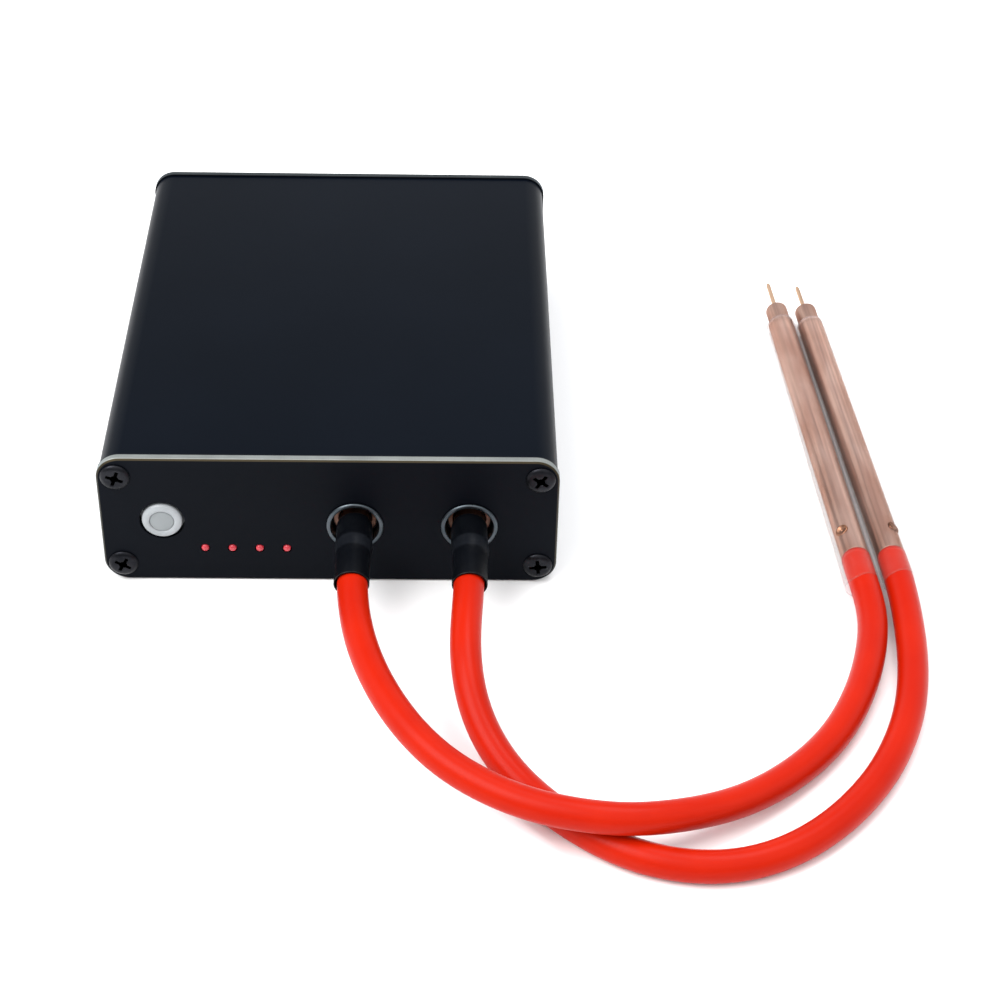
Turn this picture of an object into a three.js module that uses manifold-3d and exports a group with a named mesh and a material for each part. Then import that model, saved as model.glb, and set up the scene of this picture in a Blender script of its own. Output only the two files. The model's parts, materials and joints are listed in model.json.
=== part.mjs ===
// Battery spot welder: a flat aluminium case with a push button, four indicator lights and
// two output sockets, and two silicone leads that end in copper welding pens.
// Millimetres, +Z up. X runs across the front plate, Y runs from front to back.
// The origin is on the table, under the middle of the case.
import * as THREE from 'three';
import { mergeVertices } from 'three/addons/utils/BufferGeometryUtils.js';
import Module from 'manifold-3d';

const wasm = await Module();
wasm.setup();

// ---- driving dimensions ----------------------------------------------------------------
const CASE_WIDTH = 84;
const CASE_HEIGHT = 28;
const SHELL_LENGTH = 100;
const PLATE_THICKNESS = 1.7;
const PLATE_CORNER = 4.5;
const PLATE_CHAMFER = 0.4;
const SHELL_INSET = 0.3; // the shell is this much smaller than the plates all round
const SHELL_WALL = 1.5;
const GAP = 0.3; // between pieces that touch on the real object

const SCREW_X = 38.5;
const SCREW_RISE = 10; // above and below mid height
const SCREW_HEAD_RADIUS = 2.7;
const SCREW_SHANK_RADIUS = 1.4;
const SCREW_LENGTH = 8;
const SCREW_PROUD = 0.85;
const SCREW_SEAT = 0.1; // play between the head and the plate
const SCREW_BORE_RADIUS = 1.75;
const RECESS_REACH = 1.85; // from the middle of the head to the end of each arm
const RECESS_ARM = 0.36; // half the width of an arm
const RECESS_MIDDLE = 0.9;
const RECESS_DEPTH = 1.4;

const BUTTON_X = -30.7;
const BUTTON_Z = 14;
const BUTTON_RADIUS = 3.7;
const BUTTON_BAND = 1.45; // the white band round the grey middle
const BUTTON_PROUD = 0.5;
const BUTTON_PLAY = 0.45;
const BUTTON_TRAVEL = 1;

const LIGHT_PITCH = 5.03;
const LIGHT_FIRST_X = -23.15;
const LIGHT_Z = 7.6;
const LIGHT_RADIUS = 0.72;
const LIGHT_PROUD = 0.35;

const SOCKET_LEFT_X = 4.6;
const SOCKET_RIGHT_X = 25.65;
const SOCKET_Z = 13.2;
const RING_RADIUS = 5.25;
const RING_BAND = 0.85;
const RING_PROUD = 0.6;
const CONTACT_OUTER = 3.9;
const CONTACT_BORE = 2.85;
const PLUG_RADIUS = 2.5;
const PLUG_END_Y = -57.5;

const LEAD_RADIUS = 2.75;
const BOOT_NECK_RADIUS = 3.25;
const BOOT_SHOULDER_RADIUS = 3.5;
const BOOT_TAIL_RADIUS = 3.2;
const BOOT_START_Y = -52;
const BOOT_SHOULDER_Y = -61;
const BOOT_END_Y = -69;

const ROD_RADIUS = 2.65;
const NOSE_RADIUS = 2.3; // the bare end of the rod, ahead of its sleeve
const SLEEVE_SLACK = 0.1;
const SLEEVE_WALL = 0.2;
const PEN_AXIS_Z = 3.1;
const NEEDLE_RADIUS = 0.45;

const MID_Z = CASE_HEIGHT / 2;
const PLATE_Y = SHELL_LENGTH / 2;
const FACE_Y = PLATE_Y + PLATE_THICKNESS;

// ---- materials --------------------------------------------------------------------------
const finish = (color, roughness, metalness) => ({ color, roughness, metalness });
const FINISH = {
  shell: finish(0x1c2229, 0.42, 0.5),
  plate: finish(0x1b1c21, 0.5, 0.4),
  screw: finish(0x17181b, 0.35, 0.8),
  ring: finish(0x8d959b, 0.3, 0.9),
  copper: finish(0xb98a74, 0.35, 0.95),
  brass: finish(0xc7a65c, 0.35, 0.95),
  buttonWhite: finish(0xe6e7e6, 0.4, 0),
  buttonGrey: finish(0xaeb2b2, 0.5, 0),
  steel: finish(0x9a9ca0, 0.35, 0.9),
  light: finish(0xf2485a, 0.3, 0),
  board: finish(0x174a2c, 0.6, 0),
  chip: finish(0x202124, 0.6, 0),
  blackPlastic: finish(0x141517, 0.5, 0),
  cell: finish(0xb9bcbf, 0.35, 0.6),
  foam: finish(0x30312f, 0.95, 0),
  boot: finish(0x12151a, 0.55, 0),
  lead: finish(0xe8301c, 0.45, 0),
  clear: finish(0xdcd6d2, 0.2, 0),
};

// ---- small tools ------------------------------------------------------------------------
const group = new THREE.Group();

// Merges shared corners, drops empty triangles and turns every face outwards.
function closed(geometry) {
  const bare = geometry.clone();
  bare.deleteAttribute('normal');
  bare.deleteAttribute('uv');
  const merged = mergeVertices(bare, 1e-4);
  const position = merged.attributes.position;
  const corner = [0, 1, 2].map(() => new THREE.Vector3());
  const faces = [];
  let volume = 0;
  for (let i = 0; i < merged.index.count; i += 3) {
    const ids = [0, 1, 2].map((k) => merged.index.getX(i + k));
    if (new Set(ids).size < 3) continue;
    ids.forEach((id, k) => corner[k].fromBufferAttribute(position, id));
    volume += corner[0].dot(corner[1].clone().cross(corner[2]));
    faces.push(ids);
  }
  if (volume < 0) faces.forEach((ids) => ids.reverse());
  merged.setIndex(faces.flat());
  return merged;
}

function solid(geometry) {
  const shape = closed(geometry);
  const vertProperties = new Float32Array(shape.attributes.position.array);
  const triVerts = new Uint32Array(shape.index.array);
  return new wasm.Manifold(new wasm.Mesh({ numProp: 3, vertProperties, triVerts }));
}

function surface(manifold) {
  const mesh = manifold.getMesh();
  const geometry = new THREE.BufferGeometry();
  geometry.setAttribute('position', new THREE.BufferAttribute(mesh.vertProperties, 3));
  geometry.setIndex(new THREE.BufferAttribute(mesh.triVerts, 1));
  return geometry;
}

function cut(body, ...tools) {
  return tools.reduce((left, tool) => left.subtract(solid(tool)), solid(body));
}

function join(...bodies) {
  return bodies.slice(1).reduce((left, body) => left.add(solid(body)), solid(bodies[0]));
}

function place(name, geometry, look, parent = group) {
  const mesh = new THREE.Mesh(closed(geometry), new THREE.MeshStandardMaterial(look));
  mesh.geometry.computeVertexNormals();
  mesh.name = name;
  parent.add(mesh);
  return mesh;
}

function box(x0, x1, y0, y1, z0, z1) {
  const geometry = new THREE.BoxGeometry(x1 - x0, y1 - y0, z1 - z0);
  return geometry.translate((x0 + x1) / 2, (y0 + y1) / 2, (z0 + z1) / 2);
}

// A rounded rectangle in X and Z, extruded from y0 to y1.
function roundedShape(halfX, halfZ, radius) {
  const shape = new THREE.Shape();
  const straightX = halfX - radius;
  const straightZ = halfZ - radius;
  shape.absarc(straightX, straightZ, radius, 0, Math.PI / 2);
  shape.absarc(-straightX, straightZ, radius, Math.PI / 2, Math.PI);
  shape.absarc(-straightX, -straightZ, radius, Math.PI, 1.5 * Math.PI);
  shape.absarc(straightX, -straightZ, radius, 1.5 * Math.PI, 2 * Math.PI);
  shape.closePath();
  return shape;
}

function extrudeY(shape, y0, y1, curveSegments = 6) {
  const geometry = new THREE.ExtrudeGeometry(shape, { depth: y1 - y0, bevelEnabled: false, curveSegments });
  return geometry.rotateX(Math.PI / 2).translate(0, y1, 0);
}

// A round piece about a line along Y; the profile lists [radius, y].
function turned(profile, x, z, segments = 32) {
  const points = profile.map(([radius, y]) => new THREE.Vector2(radius, y));
  return new THREE.LatheGeometry(points, segments).translate(x, 0, z);
}

function ringProfile(inner, outer, y0, y1) {
  return [[inner, y0], [outer, y0], [outer, y1], [inner, y1], [inner, y0]];
}

function rodProfile(radius, y0, y1) {
  return [[0, y0], [radius, y0], [radius, y1], [0, y1]];
}

// ---- case shell: extruded tube with screw channels and board rails ------------------------
const SHELL_HALF_X = CASE_WIDTH / 2 - SHELL_INSET;
const SHELL_HALF_Z = MID_Z - SHELL_INSET;
const SHELL_CORNER = PLATE_CORNER - SHELL_INSET;
const CAVITY_HALF_X = SHELL_HALF_X - SHELL_WALL;
const CAVITY_HALF_Z = SHELL_HALF_Z - SHELL_WALL;
const CHANNEL_RADIUS = 3.1;
const CHANNEL_SLOT = 1.2;
const RAIL_DEPTH = 1.8;
const RAIL_THICKNESS = 1.2;
const BOARD_Z = 7.2;
const BOARD_THICKNESS = 1.6;
const CHANNELS = [[-1, 1], [1, 1], [-1, -1], [1, -1]].map(([sx, sz]) => ({
  x: sx * SCREW_X, z: MID_Z + sz * SCREW_RISE, sx, sz,
}));

function caseShell() {
  const outline = extrudeY(roundedShape(SHELL_HALF_X, SHELL_HALF_Z, SHELL_CORNER), -PLATE_Y, PLATE_Y)
    .translate(0, 0, MID_Z);
  const inside = PLATE_Y + 1;
  const cavity = extrudeY(roundedShape(CAVITY_HALF_X, CAVITY_HALF_Z, SHELL_CORNER - SHELL_WALL), -inside, inside)
    .translate(0, 0, MID_Z);
  let shell = cut(outline, cavity);
  for (const { x, z } of CHANNELS) {
    const channel = solid(turned(rodProfile(CHANNEL_RADIUS, -PLATE_Y, PLATE_Y), x, z, 20));
    shell = shell.add(channel.intersect(solid(outline)));
  }
  for (const side of [-1, 1]) {
    for (const z of [BOARD_Z - GAP - RAIL_THICKNESS, BOARD_Z + BOARD_THICKNESS + GAP]) {
      const wall = side * (CAVITY_HALF_X + 0.2);
      const tip = side * (CAVITY_HALF_X - RAIL_DEPTH);
      const rail = box(Math.min(wall, tip), Math.max(wall, tip), -PLATE_Y, PLATE_Y, z, z + RAIL_THICKNESS);
      shell = shell.add(solid(rail));
    }
  }
  for (const { x, z, sx } of CHANNELS) {
    const bore = turned(rodProfile(SCREW_BORE_RADIUS, -inside, inside), x, z, 16);
    const slotEnd = x - sx * (CHANNEL_RADIUS + 0.5);
    const slot = box(Math.min(x, slotEnd), Math.max(x, slotEnd), -inside, inside,
      z - CHANNEL_SLOT / 2, z + CHANNEL_SLOT / 2);
    shell = shell.subtract(solid(bore)).subtract(solid(slot));
  }
  place('case_shell', surface(shell), FINISH.shell);
}

// ---- end plates and their screws ----------------------------------------------------------
function roundHole(shape, x, z, radius) {
  const hole = new THREE.Path();
  hole.absarc(x, z - MID_Z, radius, 0, Math.PI);
  hole.absarc(x, z - MID_Z, radius, Math.PI, 2 * Math.PI);
  shape.holes.push(hole);
}

// The plate's outline with its outer edge broken; side is -1 at the front and +1 at the rear.
function chamferedBlank(side) {
  const outline = roundedShape(CASE_WIDTH / 2, MID_Z, PLATE_CORNER);
  const blank = new THREE.ExtrudeGeometry(outline, {
    depth: PLATE_THICKNESS, bevelThickness: PLATE_CHAMFER, bevelSize: PLATE_CHAMFER,
    bevelOffset: -PLATE_CHAMFER, bevelSegments: 1, curveSegments: 8,
  });
  // the bevel at the inner end falls outside the plate, and is cut away with it
  const outerEnd = side * (FACE_Y - PLATE_CHAMFER);
  return blank.rotateX(Math.PI / 2).translate(0, outerEnd + (side < 0 ? PLATE_THICKNESS : 0), MID_Z);
}

function endPlate(side, holes) {
  const shape = roundedShape(CASE_WIDTH / 2, MID_Z, PLATE_CORNER);
  holes.forEach(([x, z, radius]) => roundHole(shape, x, z, radius));
  CHANNELS.forEach(({ x, z }) => roundHole(shape, x, z, SCREW_BORE_RADIUS));
  const y0 = side < 0 ? -FACE_Y : PLATE_Y;
  const plate = extrudeY(shape, y0, y0 + PLATE_THICKNESS, 8).translate(0, 0, MID_Z);
  return solid(plate).intersect(solid(chamferedBlank(side)));
}

// A pan head with a cross recess, turned by an angle seen from outside.
function screw(name, x, z, side, angle) {
  const at = (out) => side * (FACE_Y + out);
  const profile = [
    [0, at(SCREW_PROUD)], [1.3, at(SCREW_PROUD)], [2, at(SCREW_PROUD - 0.1)], [2.45, at(SCREW_PROUD - 0.32)],
    [SCREW_HEAD_RADIUS, at(SCREW_PROUD - 0.6)], [SCREW_HEAD_RADIUS, at(SCREW_SEAT)],
    [SCREW_SHANK_RADIUS, at(SCREW_SEAT)], [SCREW_SHANK_RADIUS, at(0.8 - SCREW_LENGTH)],
    [0.6, at(-SCREW_LENGTH)], [0, at(-SCREW_LENGTH)],
  ];
  let body = solid(turned(profile, x, z, 24));
  // two tapered arms and a cone between them, each wide at the outer end
  const taper = 0.35;
  const arm = new THREE.CylinderGeometry(taper * Math.SQRT2, Math.SQRT2, RECESS_DEPTH + 0.2, 4, 1)
    .rotateY(Math.PI / 4).scale(RECESS_REACH, 1, RECESS_ARM);
  const middle = new THREE.CylinderGeometry(taper * RECESS_MIDDLE, RECESS_MIDDLE, RECESS_DEPTH + 0.2, 8, 1);
  for (const cutter of [arm, arm.clone().rotateY(Math.PI / 2), middle]) {
    cutter.rotateX(side < 0 ? 0 : Math.PI).rotateY(-side * angle);
    cutter.translate(x, side * (FACE_Y + SCREW_PROUD + 0.1 - RECESS_DEPTH / 2), z);
    body = body.subtract(solid(cutter));
  }
  place(name, surface(body), FINISH.screw);
}

// ---- push button --------------------------------------------------------------------------
const BUTTON_FLANGE_RADIUS = 4.5;
const STEM_RADIUS = 1.1;
const CONTROL_BOARD_Y = -45;

function button() {
  const front = -FACE_Y - BUTTON_PROUD;
  const flange = -PLATE_Y + GAP;
  const dish = BUTTON_RADIUS - BUTTON_BAND;
  place('button_cap', turned([
    [0, front + 0.65], [dish, front + 0.65], [dish, front + 0.2], [dish + 0.12, front + 0.06], [dish + 0.3, front],
    [BUTTON_RADIUS - 0.8, front], [BUTTON_RADIUS - 0.4, front + 0.1], [BUTTON_RADIUS - 0.12, front + 0.32],
    [BUTTON_RADIUS, front + 0.65],
    [BUTTON_RADIUS, flange], [BUTTON_FLANGE_RADIUS, flange], [BUTTON_FLANGE_RADIUS, flange + 0.8],
    [STEM_RADIUS, flange + 0.8], [STEM_RADIUS, flange + 2.6], [0, flange + 2.6],
  ], BUTTON_X, BUTTON_Z, 40), FINISH.buttonWhite);
  place('button_centre', turned([
    [0, front + 0.15], [dish - 0.4, front + 0.16], [dish - 0.05, front + 0.22], [dish - 0.05, front + 0.5],
    [0, front + 0.5],
  ], BUTTON_X, BUTTON_Z, 32), FINISH.buttonGrey);

  const half = 3.1;
  const switchFront = flange + 0.8 + BUTTON_TRAVEL + 0.35;
  const well = turned(rodProfile(STEM_RADIUS + GAP, switchFront - 1, switchFront + 2), BUTTON_X, BUTTON_Z, 20);
  const body = box(BUTTON_X - half, BUTTON_X + half, switchFront, CONTROL_BOARD_Y - GAP,
    BUTTON_Z - half, BUTTON_Z + half);
  place('button_switch', surface(cut(body, well)), FINISH.blackPlastic);

  // a short coil between the flange and the switch
  const wire = 0.16;
  const coilRadius = 2.1;
  const turns = 3;
  const coilStart = flange + 0.8 + 0.25;
  const coilEnd = switchFront - 0.25;
  class Coil extends THREE.Curve {
    getPoint(t) {
      const angle = 2 * Math.PI * turns * t;
      const y = THREE.MathUtils.lerp(coilStart, coilEnd, t);
      return new THREE.Vector3(BUTTON_X + coilRadius * Math.cos(angle), y, BUTTON_Z + coilRadius * Math.sin(angle));
    }
  }
  const section = new THREE.Shape().absarc(0, 0, wire, 0, 2 * Math.PI);
  place('button_spring', new THREE.ExtrudeGeometry(section, {
    steps: 30, curveSegments: 2, bevelEnabled: false, extrudePath: new Coil(),
  }), FINISH.steel);
}

// ---- control board and indicator lights ---------------------------------------------------
function controlBoard() {
  place('control_board', box(-35, -4.5, CONTROL_BOARD_Y, CONTROL_BOARD_Y + 1.6, 4.6, 22), FINISH.board);
  for (let i = 0; i < 4; i += 1) {
    const rear = CONTROL_BOARD_Y - GAP;
    place(`indicator_light_${i + 1}`, turned([
      [0, -FACE_Y - LIGHT_PROUD], [LIGHT_RADIUS * 0.5, -FACE_Y - LIGHT_PROUD * 0.8],
      [LIGHT_RADIUS * 0.87, -FACE_Y - LIGHT_PROUD * 0.35], [LIGHT_RADIUS, -FACE_Y + 0.1],
      [LIGHT_RADIUS, rear - 1.2], [1.5, rear - 1.2], [1.5, rear], [0, rear],
    ], LIGHT_FIRST_X + i * LIGHT_PITCH, LIGHT_Z, 16), FINISH.light);
  }
}

// ---- output sockets, each with ring, contact and holder -----------------------------------
const CONTACT_FRONT = -FACE_Y + 2;
const CONTACT_REAR = -FACE_Y + 16.3;

function outputSocket(side, x) {
  const inner = RING_RADIUS - RING_BAND;
  place(`socket_ring_${side}`, turned([
    [inner, -FACE_Y - 0.45], [inner + 0.15, -FACE_Y - RING_PROUD], [RING_RADIUS - 0.2, -FACE_Y - RING_PROUD],
    [RING_RADIUS, -FACE_Y - 0.4], [RING_RADIUS, -FACE_Y - 0.15], [inner + 0.4, -FACE_Y - 0.15],
    [inner + 0.4, -PLATE_Y + 1], [inner, -PLATE_Y + 1], [inner, -FACE_Y - 0.45],
  ], x, SOCKET_Z, 48), FINISH.ring);
  const rear = CONTACT_REAR;
  const contact = turned([
    [CONTACT_BORE, CONTACT_FRONT + 0.3], [CONTACT_BORE + 0.3, CONTACT_FRONT], [CONTACT_OUTER, CONTACT_FRONT],
    [CONTACT_OUTER, rear], [0, rear], [0, rear - 1.4], [CONTACT_BORE, rear - 1.4], [CONTACT_BORE, CONTACT_FRONT + 0.3],
  ], x, SOCKET_Z, 24);
  const lug = box(x - 2.6, x + 2.6, rear - 0.2, rear + 6, SOCKET_Z - 0.9, SOCKET_Z + 0.9);
  place(`socket_contact_${side}`, surface(join(contact, lug)), FINISH.copper);
  const holderHalf = 6;
  const holderFront = -PLATE_Y + 1.4;
  const bore = turned(rodProfile(CONTACT_OUTER + GAP, holderFront - 1, rear), x, SOCKET_Z, 24);
  const block = box(x - holderHalf, x + holderHalf, holderFront, rear - 3, BOARD_Z + BOARD_THICKNESS + GAP,
    SOCKET_Z + holderHalf);
  place(`socket_holder_${side}`, surface(cut(block, bore)), FINISH.blackPlastic);
}

// ---- main board, transistors, capacitors and bus bars -------------------------------------
const BOARD_TOP = BOARD_Z + BOARD_THICKNESS;
const BAR_Z = SOCKET_Z + 0.9 + GAP;
const BAR_THICKNESS = 1.2;

function electronics() {
  place('main_board', box(-39.6, 39.6, -42.8, -1, BOARD_Z, BOARD_TOP), FINISH.board);
  for (let i = 0; i < 6; i += 1) {
    const x = -14 + (i % 3) * 7.2;
    const y = -26 + Math.floor(i / 3) * 10;
    const body = box(x, x + 5.6, y, y + 6.2, BOARD_TOP + GAP, BOARD_TOP + GAP + 1.4);
    const feet = box(x + 0.5, x + 5.1, y + 6, y + 7.4, BOARD_TOP + GAP, BOARD_TOP + GAP + 0.5);
    place(`power_transistor_${i + 1}`, surface(join(body, feet)), FINISH.chip);
  }
  for (let i = 0; i < 2; i += 1) {
    place(`capacitor_${i + 1}`, turned([
      [0, -30], [3.4, -30], [3.9, -29.6], [3.9, -28.2], [3.5, -27.8], [3.9, -27.4], [3.9, -18.2], [0, -18.2],
    ], -33 + i * 9.5, BOARD_TOP + GAP + 4, 24), FINISH.steel);
  }
  const rear = CONTACT_REAR;
  const top = BAR_Z + BAR_THICKNESS;
  // the positive bar runs straight back from the right socket to the cells
  const positive = join(
    box(SOCKET_RIGHT_X - 4, SOCKET_RIGHT_X + 4, rear + 0.6, 0.4, BAR_Z, top),
    box(SOCKET_RIGHT_X - 4, SOCKET_RIGHT_X + 4, -1, 0.4, BAR_Z, 21),
  );
  place('positive_bar', surface(positive), FINISH.copper);
  // the switched bar joins the left socket to the transistors
  const switched = join(
    box(-14.5, SOCKET_LEFT_X + 4, rear + 0.6, -26.6, BAR_Z, top),
    box(-14.5, -12.9, rear + 0.6, -26.6, BOARD_TOP + GAP, top),
  );
  place('switched_bar', surface(switched), FINISH.copper);
  // the negative bar runs from the transistors to the cells
  const negative = join(
    box(-14.5, 8, -7.4, -2.6, BOARD_TOP + GAP, BOARD_TOP + GAP + BAR_THICKNESS),
    box(-26, -14, -7.4, 0.4, BOARD_TOP + GAP, BOARD_TOP + GAP + BAR_THICKNESS),
    box(-26, -18, -1, 0.4, BOARD_TOP + GAP, 21),
  );
  place('negative_bar', surface(negative), FINISH.copper);
}

// ---- cells and pads -----------------------------------------------------------------------
const CELL_THICKNESS = 6.6;
const PAD_THICKNESS = 1;

function battery() {
  const pitch = CELL_THICKNESS + PAD_THICKNESS + 2 * 0.2;
  for (let i = 0; i < 3; i += 1) {
    const z = 2.3 + i * pitch + CELL_THICKNESS / 2;
    const pouch = extrudeY(roundedShape(33, CELL_THICKNESS / 2, 2), 5, 42, 4).translate(0, 0, z);
    const seam = box(-33.5, 33.5, 2.2, 5.5, z - 0.4, z + 0.4);
    place(`battery_cell_${i + 1}`, surface(join(pouch, seam)), FINISH.cell);
  }
  for (let i = 0; i < 2; i += 1) {
    const z = 2.3 + i * pitch + CELL_THICKNESS + 0.2;
    place(`foam_pad_${i + 1}`, box(-32, 32, 7, 41, z, z + PAD_THICKNESS), FINISH.foam);
  }
}

// ---- charge port and its board ------------------------------------------------------------
const PORT_X = -24;
const PORT_Z = 12;

function charging() {
  place('charge_board', box(PORT_X - 9, PORT_X + 9, 43, 49, PORT_Z - 3.8, PORT_Z - 2.2), FINISH.board);
  const outer = extrudeY(roundedShape(4.5, 1.6, 1.55), 43.5, FACE_Y + RING_PROUD);
  const inner = extrudeY(roundedShape(4.1, 1.2, 1.15), 45, FACE_Y + 1);
  const tongue = box(-3.2, 3.2, 44.8, FACE_Y - 0.6, -0.35, 0.35);
  const port = cut(outer, inner).add(solid(tongue)).translate([PORT_X, 0, PORT_Z]);
  place('charge_port', surface(port), FINISH.steel);
}

// ---- leads: plug, boot, cable, pen --------------------------------------------------------
// Each route runs along the middle of the lead, from inside its boot to the tail of its pen.
const ROUTE_LEFT = [
  [4.6, -58, 13.2], [4.6, -64, 13.2], [4.75, -70, 13.2], [5.6, -77.8, 13], [7.2, -85.3, 12.7],
  [9.8, -92.7, 12.1], [13.9, -100.8, 11.3], [20.4, -109.3, 10.3], [27.2, -114.5, 9.5], [35, -118.5, 9],
  [43.3, -120.8, 8.9], [51, -121.4, 8.5], [59.5, -119.1, 7.1], [66.6, -115.7, 5.4], [73.9, -110.9, 3.9],
  [81.4, -104.4, 3.1], [87.9, -96.9, 2.8], [92.4, -89.2, 2.75], [95.7, -81.5, 2.75], [98.1, -73.5, 2.75],
  [99.5, -66.5, 2.75], [99.75, -60.5, 2.9],
];
const ROUTE_RIGHT = [
  [25.65, -58, 13.2], [25.65, -64, 13.2], [25.5, -70, 13.2], [25, -77.7, 12.8], [24.8, -84.3, 11.7],
  [25.3, -90, 9.8], [26.5, -95, 7.5], [28.7, -100, 5.4], [32.4, -105.9, 3.7], [37.8, -112.3, 2.85],
  [44.7, -118.8, 2.75], [51.9, -123.6, 2.75], [59.5, -126, 2.75], [66, -126.4, 2.75], [72.5, -125.1, 2.75],
  [79.4, -121.8, 2.75], [86.7, -115.9, 2.75], [91.7, -110.3, 2.75], [96.1, -104, 2.75], [99.8, -96.7, 2.75],
  [102.6, -89.2, 2.75], [104.4, -81.4, 2.75], [105.5, -73.5, 2.75], [106, -66.5, 2.75], [106.15, -60.5, 2.9],
];
// Each pen lies along a line from head to tail. The tip and the sleeve's ends are distances from
// them, and the solder hole is turned this far from the top, in degrees.
const PEN_LEFT = {
  head: [93.18, 37.3], tail: [98.75, -47.8], tip: 10.7, sleeveFront: 6.2, sleeveRear: 8.2, holeTurn: -42,
};
const PEN_RIGHT = {
  head: [99.5, 37], tail: [105.6, -47.2], tip: 9.8, sleeveFront: 6.3, sleeveRear: 7.6, holeTurn: 38,
};

const LEAD_SIDES = 8;
const LEAD_STEPS = 44;

function tube(route, radius, steps) {
  const path = new THREE.CatmullRomCurve3(route.map((point) => new THREE.Vector3(...point)), false, 'centripetal');
  const section = new THREE.Shape();
  for (let i = 0; i <= LEAD_SIDES; i += 1) {
    const angle = (2 * Math.PI * i) / LEAD_SIDES;
    section[i ? 'lineTo' : 'moveTo'](radius * Math.cos(angle), radius * Math.sin(angle));
  }
  return new THREE.ExtrudeGeometry(section, { steps, bevelEnabled: false, extrudePath: path });
}

function plugAndBoot(side, x) {
  const pinTip = CONTACT_REAR - 2;
  const collar = CONTACT_FRONT - GAP;
  const collarEnd = BOOT_START_Y + GAP;
  place(`plug_${side}`, turned([
    [0, pinTip], [PLUG_RADIUS - 0.9, pinTip], [PLUG_RADIUS, pinTip - 1.2], [PLUG_RADIUS, collar],
    [PLUG_RADIUS + 0.4, collar], [PLUG_RADIUS + 0.4, collarEnd], [PLUG_RADIUS, collarEnd],
    [PLUG_RADIUS, PLUG_END_Y], [0, PLUG_END_Y],
  ], x, SOCKET_Z, 24), FINISH.copper);
  const neck = PLUG_RADIUS + 0.2;
  const bore = LEAD_RADIUS + 0.2;
  place(`boot_${side}`, turned([
    [neck, BOOT_START_Y], [BOOT_NECK_RADIUS - 0.15, BOOT_START_Y], [BOOT_NECK_RADIUS, BOOT_START_Y - 0.3],
    [BOOT_NECK_RADIUS, PLUG_END_Y], [BOOT_SHOULDER_RADIUS, BOOT_SHOULDER_Y],
    [BOOT_SHOULDER_RADIUS, BOOT_SHOULDER_Y - 1.2], [BOOT_TAIL_RADIUS, BOOT_SHOULDER_Y - 4],
    [BOOT_TAIL_RADIUS, BOOT_END_Y], [bore, BOOT_END_Y], [bore, PLUG_END_Y - 0.9], [neck, PLUG_END_Y + 0.3],
    [neck, BOOT_START_Y],
  ], x, SOCKET_Z, 28), FINISH.boot);
}

function pen(side, { head, tail, tip, sleeveFront, sleeveRear, holeTurn }) {
  // local frame: +Y runs from the tail to the head, origin at the tail
  const dx = head[0] - tail[0];
  const dy = head[1] - tail[1];
  const length = Math.hypot(dx, dy);
  const holder = new THREE.Group();
  holder.position.set(tail[0], tail[1], PEN_AXIS_Z);
  holder.rotation.z = Math.atan2(dy, dx) - Math.PI / 2;
  group.add(holder);

  const needleHole = NEEDLE_RADIUS + GAP;
  const holeDepth = 10;
  const step = length - sleeveFront + 0.5;
  const rod = turned([
    [0, 9], [1.95, 9], [1.95, 0], [ROD_RADIUS, 0], [ROD_RADIUS, step], [NOSE_RADIUS, step + 0.3],
    [NOSE_RADIUS, length - 0.35], [NOSE_RADIUS - 0.35, length],
    [needleHole, length], [needleHole, length - holeDepth], [0, length - holeDepth],
  ], 0, 0, 24);
  const solderHole = new THREE.CylinderGeometry(0.9, 0.9, ROD_RADIUS + 1, 16).rotateX(Math.PI / 2);
  solderHole.translate(0, 6, ROD_RADIUS / 2 + 1).rotateY(THREE.MathUtils.degToRad(holeTurn));
  place(`pen_rod_${side}`, surface(cut(rod, solderHole)), FINISH.copper, holder);

  const over = ROD_RADIUS + SLEEVE_SLACK;
  const flare = LEAD_RADIUS + SLEEVE_SLACK;
  place(`pen_sleeve_${side}`, turned([
    [over, length - sleeveFront], [over + SLEEVE_WALL, length - sleeveFront], [over + SLEEVE_WALL, 1.5],
    [flare + SLEEVE_WALL, -1.5], [flare + SLEEVE_WALL, -sleeveRear], [flare, -sleeveRear], [flare, -1.5],
    [over, 1.5], [over, length - sleeveFront],
  ], 0, 0, 24), FINISH.clear, holder);

  place(`needle_${side}`, turned([
    [0, length - holeDepth + GAP], [NEEDLE_RADIUS, length - holeDepth + GAP], [NEEDLE_RADIUS, length + tip - 1],
    [NEEDLE_RADIUS * 0.75, length + tip - 0.3], [0, length + tip],
  ], 0, 0, 16), FINISH.brass, holder);
}

function lead(side, x, route, penPlace) {
  plugAndBoot(side, x);
  const { head, tail } = penPlace;
  const along = new THREE.Vector2(tail[0] - head[0], tail[1] - head[1]).normalize();
  const inSleeve = [7, 3.5, GAP].map((back) => [tail[0] + along.x * back, tail[1] + along.y * back, PEN_AXIS_Z]);
  place(`lead_${side}`, tube([...route, ...inSleeve], LEAD_RADIUS, LEAD_STEPS), FINISH.lead);
  pen(side, penPlace);
}

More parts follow.
